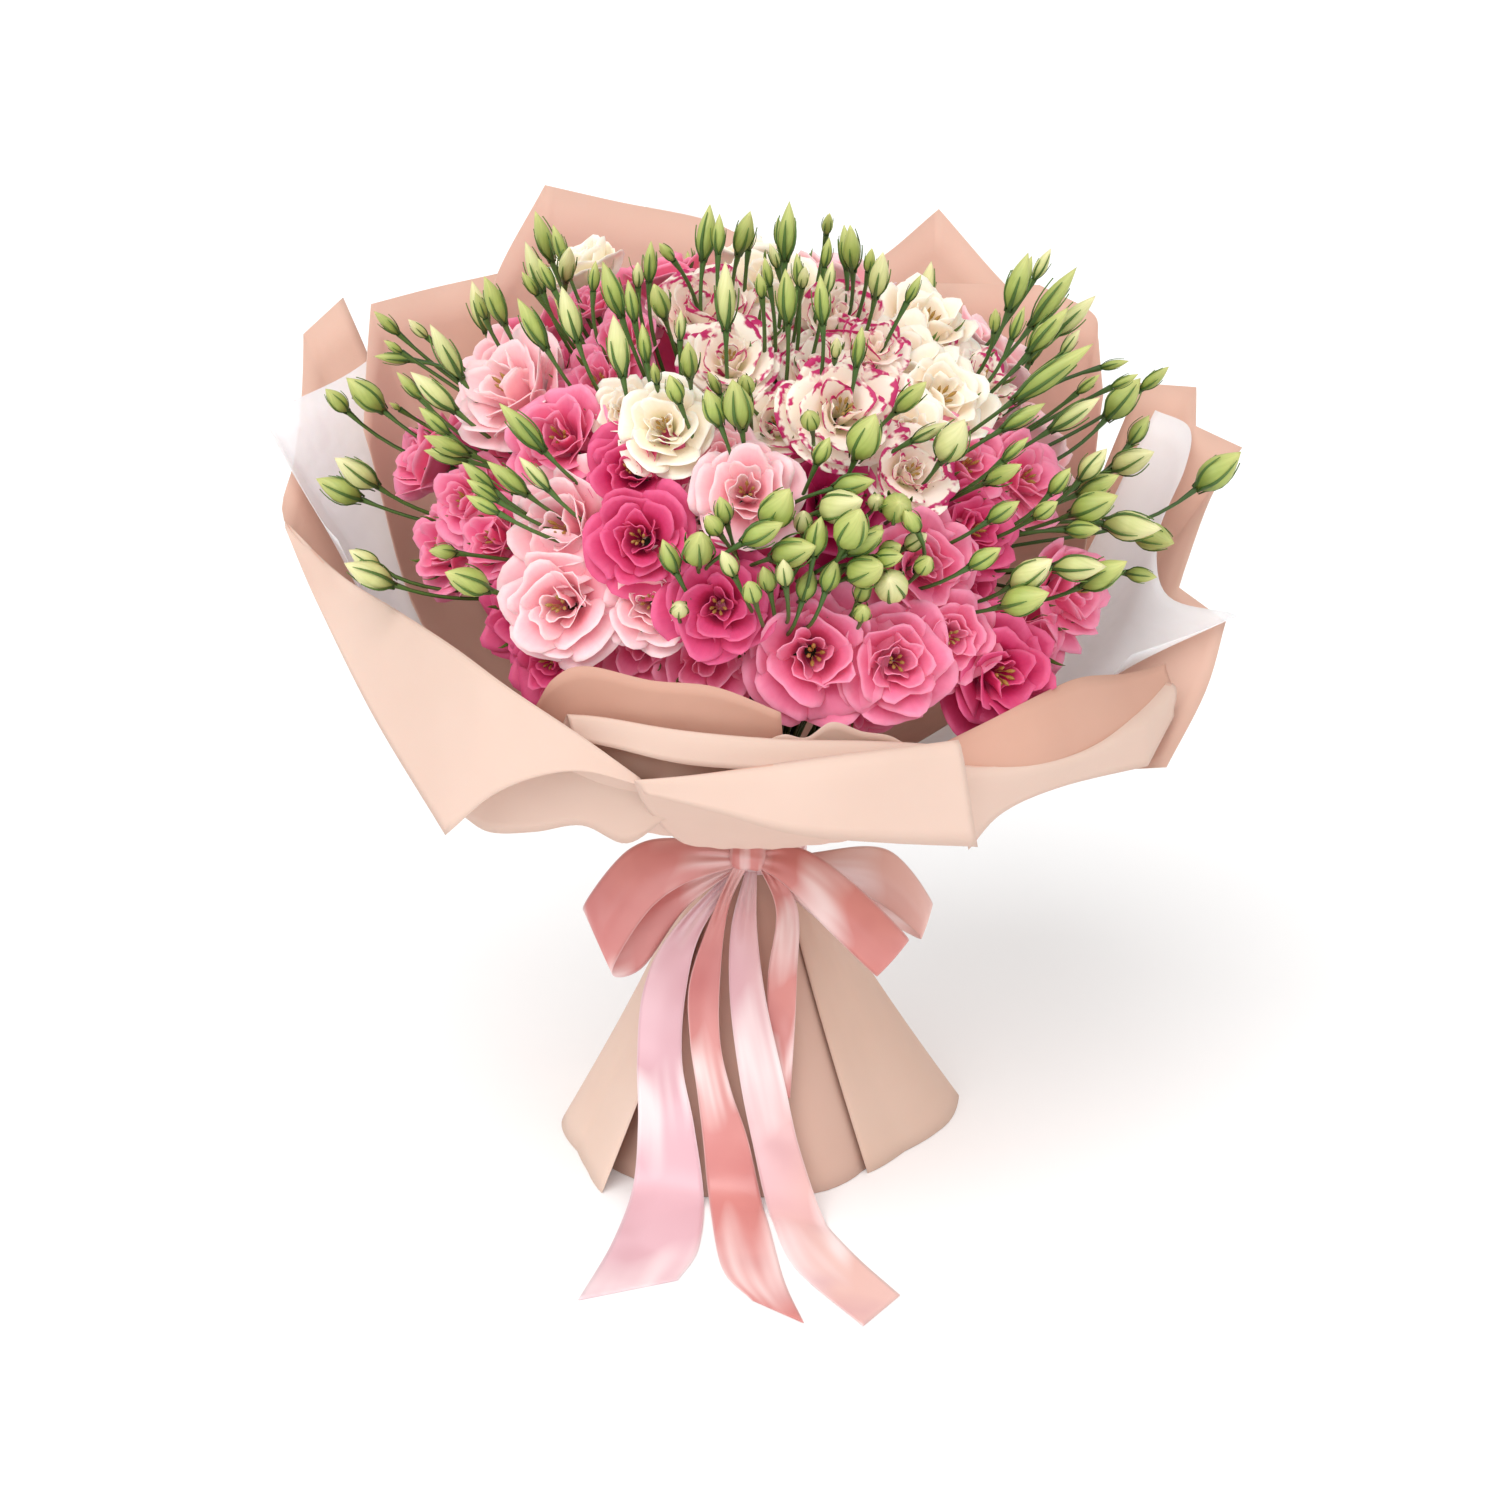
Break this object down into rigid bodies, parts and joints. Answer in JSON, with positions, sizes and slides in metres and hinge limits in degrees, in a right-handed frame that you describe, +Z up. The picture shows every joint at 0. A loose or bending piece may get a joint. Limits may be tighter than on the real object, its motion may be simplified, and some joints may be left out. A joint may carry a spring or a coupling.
{
  "type": "wrapped lisianthus bouquet",
  "caption": "Round hand-tied bouquet of pink, cream and edged lisianthus with buds, in flared paper and tissue with a ribbon bow; stands on its cut stems and paper skirt.",
  "frame": {"origin": "on the surface that the bouquet stands on, at the middle of the central stem's cut end", "axes": "+Z up along the tied stems, front of the bouquet with the bow towards -Y, +X to the right as seen from the front"},
  "size_m": [0.5896, 0.5032, 0.5985],
  "materials": {
    "blush_paper": "matt wrapping paper, blush pink",
    "blush_petals": "thin fresh petals, pale pink",
    "cream_petals": "thin fresh petals, soft matt, warm white",
    "foliage": "fresh green stems, sepals and closed buds",
    "magenta_petals": "thin fresh petals, magenta",
    "pale_ribbon": "satin ribbon, pale pink and peach",
    "picotee_petals": "thin fresh petals, warm white with deep magenta edges",
    "pink_petals": "thin fresh petals, mid pink with a paler heart",
    "rose_petals": "thin fresh petals, deep rose",
    "rose_ribbon": "satin ribbon, rose",
    "skirt_paper": "matt wrapping paper, pale beige pink",
    "tissue": "thin translucent white tissue"
  },
  "bodies": {
    "root": {"bloom_blush_front_cup": "blush_petals", "bloom_cream_top": "cream_petals", "bloom_magenta_centre": "magenta_petals", "bloom_picotee_low_right": "picotee_petals", "bloom_picotee_right": "picotee_petals", "bloom_pink_furled": "pink_petals", "bloom_pink_left_back": "pink_petals", "bloom_pink_left_cup": "pink_petals", "bloom_pink_left_open": "pink_petals", "bloom_pink_upper_left": "pink_petals", "bloom_rose_front": "rose_petals", "bloom_rose_gap_left": "rose_petals", "bloom_rose_gap_right": "magenta_petals", "bloom_rose_right_low": "rose_petals", "blooms_blush_back_right": "blush_petals", "blooms_blush_centre": "blush_petals", "blooms_blush_front_left": "blush_petals", "blooms_blush_upper_left": "blush_petals", "blooms_cream_back": "cream_petals", "blooms_cream_left": "cream_petals", "blooms_cream_right": "cream_petals", "blooms_cream_right_low": "cream_petals", "blooms_cream_top_left": "cream_petals", "blooms_picotee_centre": "picotee_petals", "blooms_picotee_top": "picotee_petals", "blooms_picotee_top_left": "picotee_petals", "blooms_pink_back_left": "pink_petals", "blooms_pink_front": "pink_petals", "blooms_pink_front_right": "pink_petals", "blooms_pink_front_under": "pink_petals", "blooms_pink_left_edge": "pink_petals", "blooms_pink_right_edge": "pink_petals", "blooms_pink_right_ruffled": "pink_petals", "blooms_pink_right_upper": "pink_petals", "blooms_pink_upper": "pink_petals", "blooms_rose_back": "rose_petals", "blooms_rose_front_left": "rose_petals", "blooms_rose_left": "rose_petals", "blooms_rose_right": "rose_petals", "front_curl": "blush_paper", "front_flap": "blush_paper", "front_roll": "blush_paper", "front_under_left": "blush_paper", "outer_paper_left": "blush_paper", "outer_paper_right": "blush_paper", "paper_back_left": "blush_paper", "paper_back_right": "blush_paper", "paper_back_right_inner": "blush_paper", "paper_front_right": "blush_paper", "paper_left_inner": "blush_paper", "ribbon_pale": "pale_ribbon", "ribbon_rose": "rose_ribbon", "skirt_left": "skirt_paper", "skirt_middle": "skirt_paper", "skirt_right": "skirt_paper", "stems_and_buds": "foliage", "tissue_back": "tissue", "tissue_left": "tissue", "tissue_right": "tissue"}
  },
  "joints": []
}
